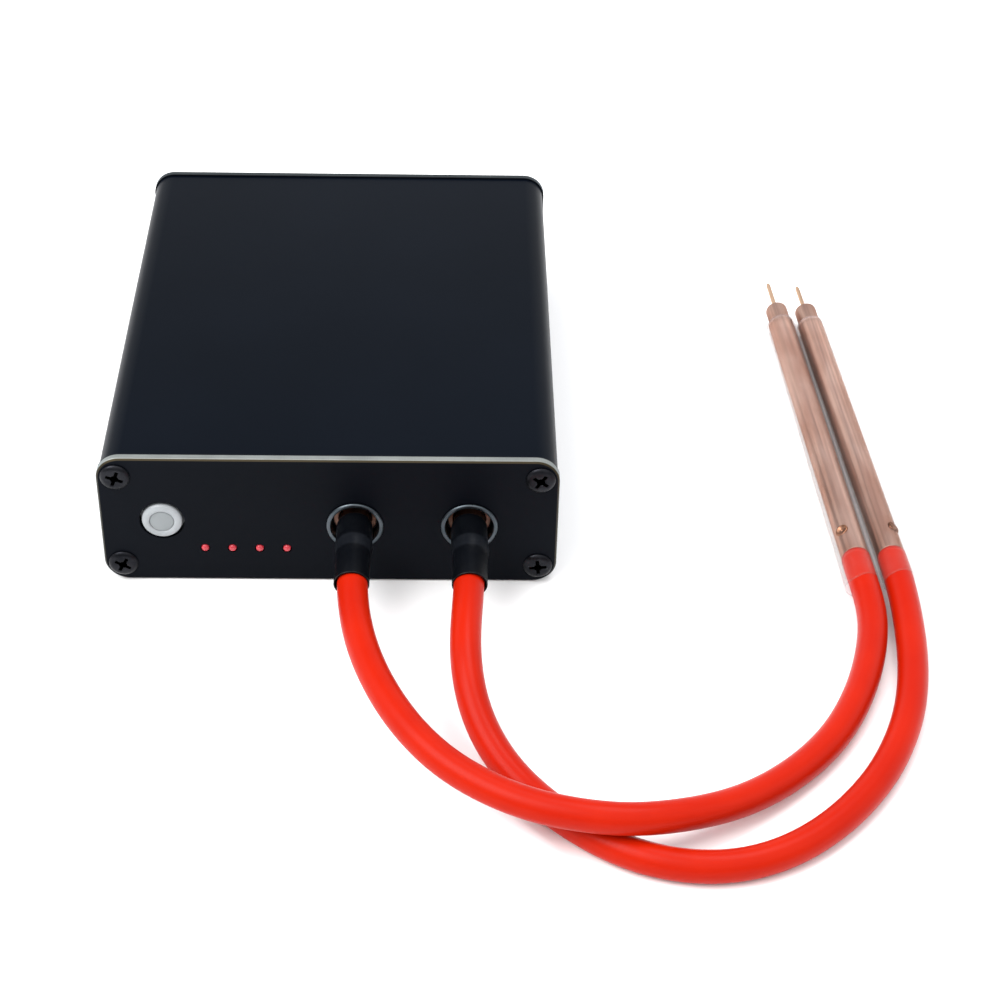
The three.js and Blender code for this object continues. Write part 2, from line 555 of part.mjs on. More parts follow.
// ---- the whole welder -----------------------------------------------------------------------
caseShell();
const lightHoles = [0, 1, 2, 3].map((i) => [LIGHT_FIRST_X + i * LIGHT_PITCH, LIGHT_Z, LIGHT_RADIUS + 0.2]);
const socketHole = RING_RADIUS - RING_BAND + 0.4 + 0.2;
const frontHoles = [
  [BUTTON_X, BUTTON_Z, BUTTON_RADIUS + BUTTON_PLAY], ...lightHoles,
  [SOCKET_LEFT_X, SOCKET_Z, socketHole], [SOCKET_RIGHT_X, SOCKET_Z, socketHole],
];
place('front_plate', surface(endPlate(-1, frontHoles)), FINISH.plate);
const portHole = extrudeY(roundedShape(4.8, 1.9, 1.85), PLATE_Y - 1, FACE_Y + 1).translate(PORT_X, 0, PORT_Z);
const rearBlank = endPlate(1, []);
place('rear_plate', surface(rearBlank.subtract(solid(portHole))), FINISH.plate);
// each screw stopped at its own angle, in degrees
const FRONT_TURNS = [20, 34, 29, -6];
const REAR_TURNS = [12, 50, 71, 38];
CHANNELS.forEach(({ x, z }, i) => {
  screw(`front_screw_${i + 1}`, x, z, -1, THREE.MathUtils.degToRad(FRONT_TURNS[i]));
  screw(`rear_screw_${i + 1}`, x, z, 1, THREE.MathUtils.degToRad(REAR_TURNS[i]));
});
button();
controlBoard();
outputSocket('left', SOCKET_LEFT_X);
outputSocket('right', SOCKET_RIGHT_X);
electronics();
battery();
charging();
lead('left', SOCKET_LEFT_X, ROUTE_LEFT, PEN_LEFT);
lead('right', SOCKET_RIGHT_X, ROUTE_RIGHT, PEN_RIGHT);

export default group;
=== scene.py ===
# %% [markdown]
# A battery spot welder: a flat black aluminium case, and two red silicone leads that end in
# copper pens. The engineered model is loaded first and stays where it is. Everything below
# dresses it, or puts a finer piece in the place of a soft one.

# %% Load the engineered model
import json
import math

import bpy
import numpy as np
from mathutils import Matrix, Vector, noise


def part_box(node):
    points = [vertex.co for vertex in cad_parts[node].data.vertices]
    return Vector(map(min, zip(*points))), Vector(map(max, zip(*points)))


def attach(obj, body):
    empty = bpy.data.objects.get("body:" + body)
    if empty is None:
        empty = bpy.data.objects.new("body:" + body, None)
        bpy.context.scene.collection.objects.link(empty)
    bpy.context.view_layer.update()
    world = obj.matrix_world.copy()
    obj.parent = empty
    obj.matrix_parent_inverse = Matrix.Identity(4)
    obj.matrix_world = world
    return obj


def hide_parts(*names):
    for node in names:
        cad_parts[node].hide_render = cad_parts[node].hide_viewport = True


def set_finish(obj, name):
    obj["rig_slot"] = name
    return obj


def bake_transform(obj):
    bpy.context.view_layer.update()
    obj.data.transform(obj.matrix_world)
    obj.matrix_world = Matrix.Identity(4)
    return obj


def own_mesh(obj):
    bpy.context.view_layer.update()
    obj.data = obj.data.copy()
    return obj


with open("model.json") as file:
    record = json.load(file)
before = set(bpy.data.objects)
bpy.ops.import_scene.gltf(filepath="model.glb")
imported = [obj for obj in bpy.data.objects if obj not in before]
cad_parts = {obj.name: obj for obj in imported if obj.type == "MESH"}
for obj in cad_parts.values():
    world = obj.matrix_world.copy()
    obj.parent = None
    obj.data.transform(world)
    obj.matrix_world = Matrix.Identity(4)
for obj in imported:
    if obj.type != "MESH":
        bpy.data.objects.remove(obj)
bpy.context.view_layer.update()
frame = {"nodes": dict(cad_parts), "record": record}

# %% [markdown]
# The camera stands in front of the case and looks down on it with a long lens, as in a
# product picture. Its place and its three angles fix the view, so they are named here.

# %% Camera
CAMERA_PLACE = Vector((0.02135, -0.3756, 0.27213))
CAMERA_LENS_MM = 81.09
CAMERA_TURN = math.radians(1.736)
CAMERA_DOWN = math.radians(37.958)
CAMERA_TILT = math.radians(1.484)


def camera_axes(turn, down, tilt):
    """Right, up and ahead for a camera turned about Z, tipped down, then tilted."""
    ahead = Vector((math.sin(turn) * math.cos(down), math.cos(turn) * math.cos(down), -math.sin(down)))
    level = Vector((math.cos(turn), -math.sin(turn), 0))
    above = level.cross(ahead)
    right = level * math.cos(tilt) + above * math.sin(tilt)
    up = above * math.cos(tilt) - level * math.sin(tilt)
    return right, up, ahead


right, up, ahead = camera_axes(CAMERA_TURN, CAMERA_DOWN, CAMERA_TILT)
camera_data = bpy.data.cameras.new("camera")
camera_data.lens = CAMERA_LENS_MM
camera_data.sensor_width = 36
camera = bpy.data.objects.new("camera", camera_data)
camera.matrix_world = Matrix.Translation(CAMERA_PLACE) @ Matrix((right, up, -ahead)).transposed().to_4x4()
bpy.context.scene.collection.objects.link(camera)
bpy.context.scene.camera = camera
print("camera stands", round(CAMERA_PLACE.z, 3), "m above the table")

# %% [markdown]
# Each lead is silicone cable 5.5 mm across. It leaves its boot level, sinks to the table and
# sweeps round to its pen, and the left one rides over the right one in a long low hump. A
# route is a short list of places on the middle line, joined by a smooth curve that passes
# through all of them. It could be simulated, but a cable this stiff lies as it was put.

# %% Routes of the two leads
LEAD_RADIUS = 0.00275
ROUTES = {
    "left": [
        (0.0046, -0.058, 0.0132), (0.0046, -0.064, 0.0132), (0.00475, -0.07, 0.0132),
        (0.0056, -0.0778, 0.013), (0.0072, -0.0853, 0.0127), (0.0098, -0.0927, 0.0121),
        (0.0139, -0.1008, 0.0113), (0.0204, -0.1093, 0.0103), (0.0272, -0.1145, 0.0095),
        (0.035, -0.1185, 0.009), (0.0433, -0.1208, 0.0089), (0.051, -0.1214, 0.0085),
        (0.0595, -0.1191, 0.0071), (0.0666, -0.1157, 0.0054), (0.0739, -0.1109, 0.0039),
        (0.0814, -0.1044, 0.0031), (0.0879, -0.0969, 0.0028), (0.0924, -0.0892, 0.00275),
        (0.0957, -0.0815, 0.00275), (0.0981, -0.0735, 0.00275), (0.0995, -0.0665, 0.00275),
        (0.09975, -0.0605, 0.0029),
    ],
    "right": [
        (0.02565, -0.058, 0.0132), (0.02565, -0.064, 0.0132), (0.0255, -0.07, 0.0132),
        (0.025, -0.0777, 0.0128), (0.0248, -0.0843, 0.0117), (0.0253, -0.09, 0.0098),
        (0.0265, -0.095, 0.0075), (0.0287, -0.1, 0.0054), (0.0324, -0.1059, 0.0037),
        (0.0378, -0.1123, 0.00285), (0.0447, -0.1188, 0.00275), (0.0519, -0.1236, 0.00275),
        (0.0595, -0.126, 0.00275), (0.066, -0.1264, 0.00275), (0.0725, -0.1251, 0.00275),
        (0.0794, -0.1218, 0.00275), (0.0867, -0.1159, 0.00275), (0.0917, -0.1103, 0.00275),
        (0.0961, -0.104, 0.00275), (0.0998, -0.0967, 0.00275), (0.1026, -0.0892, 0.00275),
        (0.1044, -0.0814, 0.00275), (0.1055, -0.0735, 0.00275), (0.106, -0.0665, 0.00275),
        (0.10615, -0.0605, 0.0029),
    ],
}
print({hand: len(places) for hand, places in ROUTES.items()}, "places on the routes")

# %% [markdown]
# The pens lie flat, each along a line from head to tail, and the lead's last places are inside
# the pen's clear sleeve. So each pen gets a frame of its own: origin at the copper rod's tail,
# +Y towards its head, +Z up. Pieces of a pen are built in that frame.

# %% The pens' own frames
ROD_RADIUS = 0.00265
PEN_AXIS_Z = 0.0031
PENS = {
    "left": {"head": (0.09318, 0.0373), "tail": (0.09875, -0.0478), "front": 0.0062, "rear": 0.0082,
             "hole": -42},
    "right": {"head": (0.0995, 0.037), "tail": (0.1056, -0.0472), "front": 0.0063, "rear": 0.0076,
              "hole": 38},
}
PLACES_IN_SLEEVE = (0.007, 0.0035, 0.0003)  # behind the rod's tail


def pen_frame(pen):
    head = Vector((*pen["head"], PEN_AXIS_Z))
    tail = Vector((*pen["tail"], PEN_AXIS_Z))
    along = (head - tail).normalized()
    side = along.cross(Vector((0, 0, 1)))
    turn = Matrix((side, along, Vector((0, 0, 1)))).transposed().to_4x4()
    return Matrix.Translation(tail) @ turn, (head - tail).length


EASING_PASSES = 24
CUTS_PER_SPAN = 24
ROUTE_STEP = 0.0011


def smooth_route(places, step):
    """A centripetal Catmull-Rom curve through the places, cut into even steps and eased,
    and its length."""
    p = [np.array(place, float) for place in places]
    p = [2 * p[0] - p[1], *p, 2 * p[-1] - p[-2]]
    fine = []
    for p0, p1, p2, p3 in zip(p, p[1:], p[2:], p[3:]):
        d0, d1, d2 = (np.linalg.norm(b - a) ** 0.5 for a, b in ((p0, p1), (p1, p2), (p2, p3)))
        leave = ((p1 - p0) / d0 - (p2 - p0) / (d0 + d1) + (p2 - p1) / d1) * d1
        arrive = ((p2 - p1) / d1 - (p3 - p1) / (d1 + d2) + (p3 - p2) / d2) * d1
        for t in np.linspace(0, 1, CUTS_PER_SPAN, endpoint=False):
            cubic = (2 * p1 - 2 * p2 + leave + arrive) * t ** 3
            square = (3 * p2 - 3 * p1 - 2 * leave - arrive) * t ** 2
            fine.append(cubic + square + leave * t + p1)
    fine = np.array([*fine, p[-2]])
    run = np.r_[0, np.cumsum(np.linalg.norm(np.diff(fine, axis=0), axis=1))]
    even = np.linspace(0, run[-1], int(run[-1] / step) + 1)
    path = np.stack([np.interp(even, run, fine[:, i]) for i in range(3)], axis=1)
    for _ in range(EASING_PASSES):
        path[1:-1] = (path[:-2] + 2 * path[1:-1] + path[2:]) / 4
    return path, float(np.linalg.norm(np.diff(path, axis=0), axis=1).sum())


paths = {}
for hand, places in ROUTES.items():
    pen_to_row, _ = pen_frame(PENS[hand])
    ends = [tuple(pen_to_row @ Vector((0, -back, 0))) for back in PLACES_IN_SLEEVE]
    paths[hand], lead_length = smooth_route([*places, *ends], ROUTE_STEP)
    print(hand, "lead is", round(lead_length * 1000, 1), "mm long")

# %% [markdown]
# A cable is one circle repeated along its route. The circle is carried along without twisting,
# because twisted quads shade badly. Boots and sleeves are rings too, about a straight line, with
# a radius that changes. All of them are closed skins with thickness, never a single sheet.


# %% Rings of points joined into a skin
def new_piece(name, points, faces, uvs):
    mesh = bpy.data.meshes.new(name)
    mesh.from_pydata([tuple(point) for point in points], [], faces)
    layer = mesh.uv_layers.new(name="UVMap")
    for polygon, corners in zip(mesh.polygons, uvs):
        for loop, corner in zip(polygon.loop_indices, corners):
            layer.data[loop].uv = corner
    turn_faces_out(mesh)
    mesh.shade_smooth()
    piece = bpy.data.objects.new(name, mesh)
    bpy.context.scene.collection.objects.link(piece)
    return piece


def turn_faces_out(mesh):
    """The signed volume of a closed skin says whether its faces point outwards."""
    mesh.calc_loop_triangles()
    co = [vertex.co for vertex in mesh.vertices]
    corners = [triangle.vertices for triangle in mesh.loop_triangles]
    if sum(co[a].dot(co[b].cross(co[c])) for a, b, c in corners) < 0:
        mesh.flip_normals()


def join_rings(rings, sides, along, girth, closed):
    """Quads between neighbouring rings, with UVs in metres: u along the piece, v round it."""
    faces, uvs = [], []
    for i in range(rings if closed else rings - 1):
        j = (i + 1) % rings
        for k in range(sides):
            m = (k + 1) % sides
            faces.append((i * sides + k, i * sides + m, j * sides + m, j * sides + k))
            v0, v1 = girth * k / sides, girth * (k + 1) / sides
            uvs.append(((along[i], v0), (along[i], v1), (along[i + 1], v1), (along[i + 1], v0)))
    return faces, uvs


print("skin helpers ready")

# %% Cable along a route
def cable(name, path, radius, sides):
    path = [Vector(point) for point in path]
    last = len(path) - 1
    across = Vector((1, 0, 0))
    points, run = [], [0.0]
    for i, middle in enumerate(path):
        forward = (path[min(i + 1, last)] - path[max(i - 1, 0)]).normalized()
        across = (across - forward * across.dot(forward)).normalized()
        over = across.cross(forward)
        for k in range(sides):
            angle = 2 * math.pi * k / sides
            points.append(middle + (across * math.sin(angle) - over * math.cos(angle)) * radius)
        run.append(run[-1] + (path[min(i + 1, last)] - middle).length)
    faces, uvs = join_rings(len(path), sides, run, 2 * math.pi * radius, closed=False)
    for first in (0, last * sides):
        cap = tuple(range(first, first + sides))
        faces.append(cap if first else tuple(reversed(cap)))
        uvs.append([(0, 0)] * sides)
    return new_piece(name, points, faces, uvs)


LEAD_SIDES = 32
leads = {}
for hand, path in paths.items():
    leads[hand] = cable(f"silicone_lead_{hand}", path, LEAD_RADIUS, LEAD_SIDES)
    print(leads[hand].name, len(leads[hand].data.vertices), "vertices")


# %% Skin about a straight line
def sleeve_skin(name, outside, wall, to_row, sides, ripple, slant):
    """outside lists (radius, y) from one end to the other; ripple(angle, y) adds to the radius
    and slant(angle, y) to y, for an end that was not cut square."""
    profile = [*outside, *((radius - wall, y) for radius, y in reversed(outside))]
    points, run = [], [0.0]
    for i, (radius, y) in enumerate(profile):
        for k in range(sides):
            angle = 2 * math.pi * k / sides
            r = radius + ripple(angle, y)
            points.append(to_row @ Vector((r * math.cos(angle), y + slant(angle, y), r * math.sin(angle))))
        after = profile[(i + 1) % len(profile)]
        run.append(run[-1] + math.hypot(after[0] - radius, after[1] - y))
    girth = 2 * math.pi * max(radius for radius, _ in outside)
    faces, uvs = join_rings(len(profile), sides, run, girth, closed=True)
    return new_piece(name, points, faces, uvs)


CORNER_PASSES = 3


def eased(stations, count):
    """Even steps between (place, radius) stations, with the corners rounded off."""
    places = np.linspace(stations[0][0], stations[-1][0], count)
    radii = np.interp(places, *zip(*stations))
    for _ in range(CORNER_PASSES):
        radii[1:-1] = (radii[:-2] + 2 * radii[1:-1] + radii[2:]) / 4
    return list(zip(places, radii))


print("skins ready")

# %% [markdown]
# The boots are black heat-shrink tube over the joint between plug and cable. A second layer
# ends under it, so it swells to a low shoulder a third of the way down, and then slopes to a
# slimmer tail. Heat-shrink never shrinks evenly: slow ripples, fine creases and a lopsided
# shoulder break the shine.

# %% Heat-shrink boots
BOOT_WALL = 0.00022
BOOT_RINGS = 70
BOOT_SIDES = 64
BOOT_STATIONS = [  # (behind the boot's front end, radius)
    (0, 0.00324), (0.0004, 0.00334), (0.0032, 0.00334), (0.0048, 0.00337), (0.0058, 0.00346),
    (0.0063, 0.00346), (0.0092, 0.00322), (0.0100, 0.00319), (0.0130, 0.00319), (0.0165, 0.0032),
]
SHOULDER_BACK = 0.0072
SHOULDER_BREADTH = 0.0018
BOOT_LEAN = {"left": 0.00008, "right": 0.00022}
BOOT_SLANT = 0.0004
BOOT_RIPPLE = 0.00004
BOOT_CREASE = 0.00003


def boot(hand):
    low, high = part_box(f"boot_{hand}")
    middle = (low + high) / 2
    start = high.y
    outside = [(radius, start - back) for back, radius in eased(BOOT_STATIONS, BOOT_RINGS)]

    def ripple(angle, y):
        round_x, round_z = math.cos(angle), math.sin(angle)
        bulge = math.exp(-((start - y - SHOULDER_BACK) / SHOULDER_BREADTH) ** 2)
        slow = noise.noise(Vector((round_x * 1.3, y * 160, round_z * 1.3 + middle.x * 300)))
        creases = noise.noise(Vector((round_x * 5, y * 70, round_z * 5 + middle.x * 500)))
        return BOOT_LEAN[hand] * round_x * bulge + BOOT_RIPPLE * slow + BOOT_CREASE * creases

    def slant(angle, y):
        return -BOOT_SLANT * math.sin(angle) * max(0.0, (start - y) / BOOT_STATIONS[-1][0]) ** 4

    to_row = Matrix.Translation((middle.x, 0, middle.z))
    return sleeve_skin(f"heatshrink_boot_{hand}", outside, BOOT_WALL, to_row, BOOT_SIDES, ripple, slant)


boots = {hand: boot(hand) for hand in PENS}
print([piece.name for piece in boots.values()])

# %% [markdown]
# The clear sleeves are the same kind of tube without colour, shrunk loosely over rod and cable.
# They widen over the cable, stand off on one side where the tube was pressed flat, and their
# cut ends are a little wavy and rolled.

# %% Clear sleeves
FILM_WALL = 0.00018
FILM_OVER_ROD = 0.00291
FILM_OVER_LEAD = 0.00302
FILM_FIN = {"left": 0.0008, "right": 0.0002}
FILM_LIP = 0.00006
FILM_LIP_LENGTH = 0.0006
FILM_STEP = (0.0018, -0.0016)  # where it widens from rod to lead, behind the rod's tail
FILM_SLANT = 0.0004
FILM_RIPPLE = 0.00005
FILM_RINGS = 120
FILM_SIDES = 72


def clear_sleeve(hand, pen):
    to_row, length = pen_frame(pen)
    front, rear = length - pen["front"], -pen["rear"]
    wide_from, narrow_to = FILM_STEP
    stations = [
        (-front, FILM_OVER_ROD + FILM_LIP), (-front + FILM_LIP_LENGTH, FILM_OVER_ROD),
        (narrow_to, FILM_OVER_ROD), (wide_from, FILM_OVER_LEAD),
        (-rear - FILM_LIP_LENGTH, FILM_OVER_LEAD), (-rear, FILM_OVER_LEAD + FILM_LIP),
    ]
    outside = [(radius, -back) for back, radius in eased(stations, FILM_RINGS)]

    def ripple(angle, y):
        beside = max(0.0, -math.cos(angle)) ** 6
        share = 0.5 + 0.5 * math.tanh((0.5 * length - y) / (0.3 * length))
        slow = noise.noise(Vector((math.cos(angle) * 1.1, y * 60, math.sin(angle) * 1.1 + length * 900)))
        return FILM_FIN[hand] * beside * share + FILM_RIPPLE * slow

    def slant(angle, y):
        wavy = 0.5 * noise.noise(Vector((math.cos(angle) * 2, math.sin(angle) * 2, length * 700)))
        return FILM_SLANT * (math.cos(angle) + wavy) * max(0.0, min(1.0, -y / pen["rear"])) ** 3

    return sleeve_skin(f"clear_sleeve_{hand}", outside, FILM_WALL, to_row, FILM_SIDES, ripple, slant)


sleeves = {hand: clear_sleeve(hand, pen) for hand, pen in PENS.items()}
print([piece.name for piece in sleeves.values()])

# %% [markdown]
# The cable's strands are soldered through a small hole near the rod's tail. What shows is a
# sunk drop of solder with a raised rim, so it is a short skin about the hole's own axis.

# %% Solder in the rods
SOLDER_BACK = 0.006  # from the rod's tail
SOLDER_RADIUS = 0.00088
SOLDER_STEP = 0.0002
SOLDER_SIDES = 32
SOLDER_DEPTH = 0.0003
SOLDER_LUMPS = 0.08
SOLDER_STATIONS = [  # (radius, height over the rod's ridge)
    (0.00002, -0.0004), (0.0004, -0.00036), (0.00072, -0.00022), (0.00098, 0.00003),
    (0.00116, 0.0001), (0.0013, -0.00004),
]


def solder_drop(hand, pen):
    pen_to_row, _ = pen_frame(pen)
    turn = Matrix.Rotation(math.radians(pen["hole"]), 4, "Y")
    stand_up = Matrix.Rotation(math.pi / 2, 4, "X")
    to_row = pen_to_row @ turn @ Matrix.Translation((0, SOLDER_BACK, ROD_RADIUS)) @ stand_up
    below = [(radius, y - SOLDER_DEPTH) for radius, y in reversed(SOLDER_STATIONS)]
    points, run = [], [0.0]
    for radius, y in SOLDER_STATIONS + below:
        for k in range(SOLDER_SIDES):
            angle = 2 * math.pi * k / SOLDER_SIDES
            lump = noise.noise(Vector((math.cos(angle), math.sin(angle), pen["hole"])))
            r = radius * (1 + SOLDER_LUMPS * lump)
            points.append(to_row @ Vector((r * math.cos(angle), y, r * math.sin(angle))))
        run.append(run[-1] + SOLDER_STEP)
    girth = 2 * math.pi * SOLDER_RADIUS
    faces, uvs = join_rings(2 * len(SOLDER_STATIONS), SOLDER_SIDES, run, girth, closed=True)
    return new_piece(f"solder_drop_{hand}", points, faces, uvs)


solder = {hand: solder_drop(hand, pen) for hand, pen in PENS.items()}
print([piece.name for piece in solder.values()])

# %% [markdown]
# The button's return spring is a short coil behind it, which shortens when the button is
# pressed. It is made again here as a wound wire, in the place of the engineered piece.

# %% Return spring
WIRE_RADIUS = 0.00016
WIRE_SIDES = 8
SPRING_TURNS = 3
STEPS_PER_TURN = 20


def return_spring():
    low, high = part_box("button_spring")
    middle = (low + high) / 2
    radius = (high.x - low.x) / 2 - WIRE_RADIUS
    front, rear = low.y + WIRE_RADIUS, high.y - WIRE_RADIUS
    steps = SPRING_TURNS * STEPS_PER_TURN
    path = []
    for i in range(steps + 1):
        angle = 2 * math.pi * i / STEPS_PER_TURN
        y = front + (rear - front) * i / steps
        path.append((middle.x + radius * math.cos(angle), y, middle.z + radius * math.sin(angle)))
    return cable("return_spring", path, WIRE_RADIUS, WIRE_SIDES), (middle.x, high.y, middle.z)


spring, spring_seat = return_spring()
print(spring.name, len(spring.data.vertices), "vertices")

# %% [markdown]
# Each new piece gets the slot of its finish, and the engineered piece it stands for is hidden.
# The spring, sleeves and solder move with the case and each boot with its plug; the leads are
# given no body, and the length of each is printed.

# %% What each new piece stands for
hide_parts("button_spring")
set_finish(spring, "steel")
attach(spring, "case")
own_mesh(spring)

for hand, lead in leads.items():
    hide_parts(f"lead_{hand}")
    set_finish(lead, "lead_red")
    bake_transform(lead)
    for piece, node, slot, body in (
        (boots[hand], f"boot_{hand}", "boot_black", f"plug_{hand}"),
        (sleeves[hand], f"pen_sleeve_{hand}", "sleeve_clear", "case"),
        (solder[hand], None, "steel", "case"),
    ):
        if node:
            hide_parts(node)
        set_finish(piece, slot)
        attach(piece, body)
    path = paths[hand]
    reach = float(np.linalg.norm(np.diff(path, axis=0), axis=1).sum())
    print(lead.name, "declared,", round(reach * 1000, 1), "mm")

# %% [markdown]
# Finishes are node trees. Small helpers keep them readable: one adds a node and fills its
# inputs, with a value or with another node's output, and one starts a group with named inputs
# and outputs, which several materials can then share.


# %% Node helpers
def fill(tree, node, into):
    for key, value in into.items():
        if isinstance(value, bpy.types.NodeSocket):
            tree.links.new(value, node.inputs[key])
        else:
            node.inputs[key].default_value = value
    return node


def put(tree, kind, into, **settings):
    node = tree.nodes.new("ShaderNode" + kind)
    for key, value in settings.items():
        setattr(node, key, value)
    return fill(tree, node, into)


def use_group(tree, name, into):
    node = tree.nodes.new("ShaderNodeGroup")
    node.node_tree = bpy.data.node_groups[name]
    return fill(tree, node, into)


def mix_colour(tree, share, first, second):
    """Colour sockets of the Mix node have no names of their own, only places 6 and 7."""
    node = tree.nodes.new("ShaderNodeMix")
    node.data_type = "RGBA"
    return fill(tree, node, {0: share, 6: first, 7: second}).outputs[2]


def mix_value(tree, share, first, second):
    return fill(tree, tree.nodes.new("ShaderNodeMix"), {0: share, 2: first, 3: second}).outputs[0]


def calc(tree, operation, first, second):
    """One step of arithmetic."""
    return put(tree, "Math", {0: first, 1: second}, operation=operation).outputs[0]


def ramp(tree, value, low, high, to_low=0.0, to_high=1.0):
    return put(tree, "MapRange", {"Value": value, "From Min": low, "From Max": high,
                                  "To Min": to_low, "To Max": to_high}).outputs["Result"]


print("node helpers ready")


# %% Group and material helpers
def start_group(name, inputs, outputs):
    tree = bpy.data.node_groups.new(name, "ShaderNodeTree")
    for label, kind, value in inputs:
        socket = tree.interface.new_socket(label, in_out="INPUT", socket_type="NodeSocket" + kind)
        if value is not None:
            socket.default_value = value
    for label, kind in outputs:
        tree.interface.new_socket(label, in_out="OUTPUT", socket_type="NodeSocket" + kind)
    return tree, tree.nodes.new("NodeGroupInput").outputs, tree.nodes.new("NodeGroupOutput")


def new_finish(name, **plain):
    """A material and its shader; values that are the same all over go straight on its sockets."""
    material = bpy.data.materials.new(name)
    material.use_nodes = True
    shader = material.node_tree.nodes["Principled BSDF"]
    for key, value in plain.items():
        shader.inputs[key.replace("_", " ")].default_value = value
    place = material.node_tree.nodes.new("ShaderNodeTexCoord").outputs
    return material, material.node_tree, shader, place


def add_bump(tree, shader, height, strength, distance):
    bump = put(tree, "Bump", {"Height": height, "Strength": strength, "Distance": distance})
    tree.links.new(bump.outputs["Normal"], shader.inputs["Normal"])


print("material helpers ready")

# %% [markdown]
# A few effects turn up on nearly everything, so each is a group, built once. Fine grain is the
# tiny unevenness of a blasted or moulded surface.

# %% Effect: fine grain
tree, given, out = start_group(
    "Fine Grain",
    [("Vector", "Vector", None), ("Scale", "Float", 2000.0), ("Low", "Float", 0.3), ("High", "Float", 0.5)],
    [("Value", "Float"), ("Height", "Float")])
grain = put(tree, "TexNoise", {"Vector": given["Vector"], "Scale": given["Scale"], "Detail": 4.0,
                               "Roughness": 0.6}).outputs["Fac"]
fill(tree, out, {"Value": ramp(tree, grain, 0.3, 0.7, given["Low"], given["High"]), "Height": grain})
print(tree.name)

# %% [markdown]
# Long grain is the same, drawn out in one direction: die lines on an extrusion, brushing on
# copper, cutter marks on a sawn edge. Stretch says how much it is drawn out along each axis.

# %% Effect: long grain
tree, given, out = start_group(
    "Long Grain",
    [("Vector", "Vector", None), ("Stretch", "Vector", (1.0, 0.02, 1.0)), ("Scale", "Float", 3000.0),
     ("Low", "Float", 0.3), ("High", "Float", 0.5)],
    [("Value", "Float"), ("Height", "Float")])
drawn = put(tree, "VectorMath", {0: given["Vector"], 1: given["Stretch"]}, operation="MULTIPLY")
lines = put(tree, "TexNoise", {"Vector": drawn.outputs["Vector"], "Scale": given["Scale"],
                               "Detail": 5.0}).outputs["Fac"]
fill(tree, out, {"Value": ramp(tree, lines, 0.3, 0.7, given["Low"], given["High"]), "Height": lines})
print(tree.name)

# %% [markdown]
# Patches are slow changes of tone, as from handling or uneven dye.

# %% Effect: patches
tree, given, out = start_group(
    "Patches",
    [("Vector", "Vector", None), ("Scale", "Float", 60.0), ("Tone A", "Color", (0.5, 0.5, 0.5, 1)),
     ("Tone B", "Color", (0.6, 0.6, 0.6, 1))],
    [("Color", "Color"), ("Mask", "Float")])
cloud = put(tree, "TexNoise", {"Vector": given["Vector"], "Scale": given["Scale"],
                               "Detail": 3.0}).outputs["Fac"]
mask = ramp(tree, cloud, 0.35, 0.65)
fill(tree, out, {"Color": mix_colour(tree, mask, given["Tone A"], given["Tone B"]), "Mask": mask})
print(tree.name)

# %% [markdown]
# The end plates are sheet cut to shape after coating, so the cut edge is bare. The rim is found
# from the shape itself: this group measures how far a point is outside a rounded rectangle in X
# and Z, with negative values inside it.

# %% Effect: distance from a rounded outline
tree, given, out = start_group(
    "Rounded Outline",
    [("Vector", "Vector", None), ("Half Size", "Vector", (0.04, 1.0, 0.01)),
     ("Centre", "Vector", (0, 0, 0)), ("Corner", "Float", 0.004)],
    [("Distance", "Float")])


def vector_step(operation, first, second):
    return put(tree, "VectorMath", {0: first, 1: second}, operation=operation).outputs["Vector"]


from_centre = vector_step("SUBTRACT", given["Vector"], given["Centre"])
folded = put(tree, "VectorMath", {0: from_centre}, operation="ABSOLUTE").outputs["Vector"]
past = vector_step("SUBTRACT", folded, vector_step("SUBTRACT", given["Half Size"], given["Corner"]))
outside = vector_step("MAXIMUM", past, (0.0, 0.0, 0.0))
reach = put(tree, "VectorMath", {0: outside}, operation="LENGTH").outputs["Value"]
parts = put(tree, "SeparateXYZ", {"Vector": past}).outputs
inner = calc(tree, "MINIMUM", calc(tree, "MAXIMUM", parts["X"], parts["Z"]), 0.0)
distance = calc(tree, "SUBTRACT", calc(tree, "ADD", reach, inner), given["Corner"])
fill(tree, out, {"Distance": distance})
print(tree.name)

# %% [markdown]
# The shell is an aluminium extrusion, blasted and dyed blue-black. Blasting leaves a very fine
# grain, the die leaves faint lines along the length, and the dye is a touch uneven.


# %% Finish: dyed extrusion
def dyed_extrusion():
    material, tree, shader, place = new_finish("dyed_extrusion", Specular_IOR_Level=0.036,
                                               Specular_Tint=(0.75, 0.88, 1.0, 1))
    tone = use_group(tree, "Patches", {"Vector": place["Object"], "Scale": 24.0,
                                       "Tone A": (0.0012, 0.0024, 0.0050, 1),
                                       "Tone B": (0.0017, 0.0031, 0.0062, 1)})
    grain = use_group(tree, "Fine Grain", {"Vector": place["Object"], "Scale": 5200.0,
                                           "Low": 0.3, "High": 0.38})
    die = use_group(tree, "Long Grain", {"Vector": place["Object"], "Stretch": (1.0, 0.004, 1.0),
                                         "Scale": 1500.0})
    fill(tree, shader, {"Base Color": tone.outputs["Color"], "Roughness": grain.outputs["Value"]})
    height = mix_value(tree, 0.35, grain.outputs["Height"], die.outputs["Height"])
    add_bump(tree, shader, height, 0.12, 0.00004)
    return material


print("dyed extrusion ready")
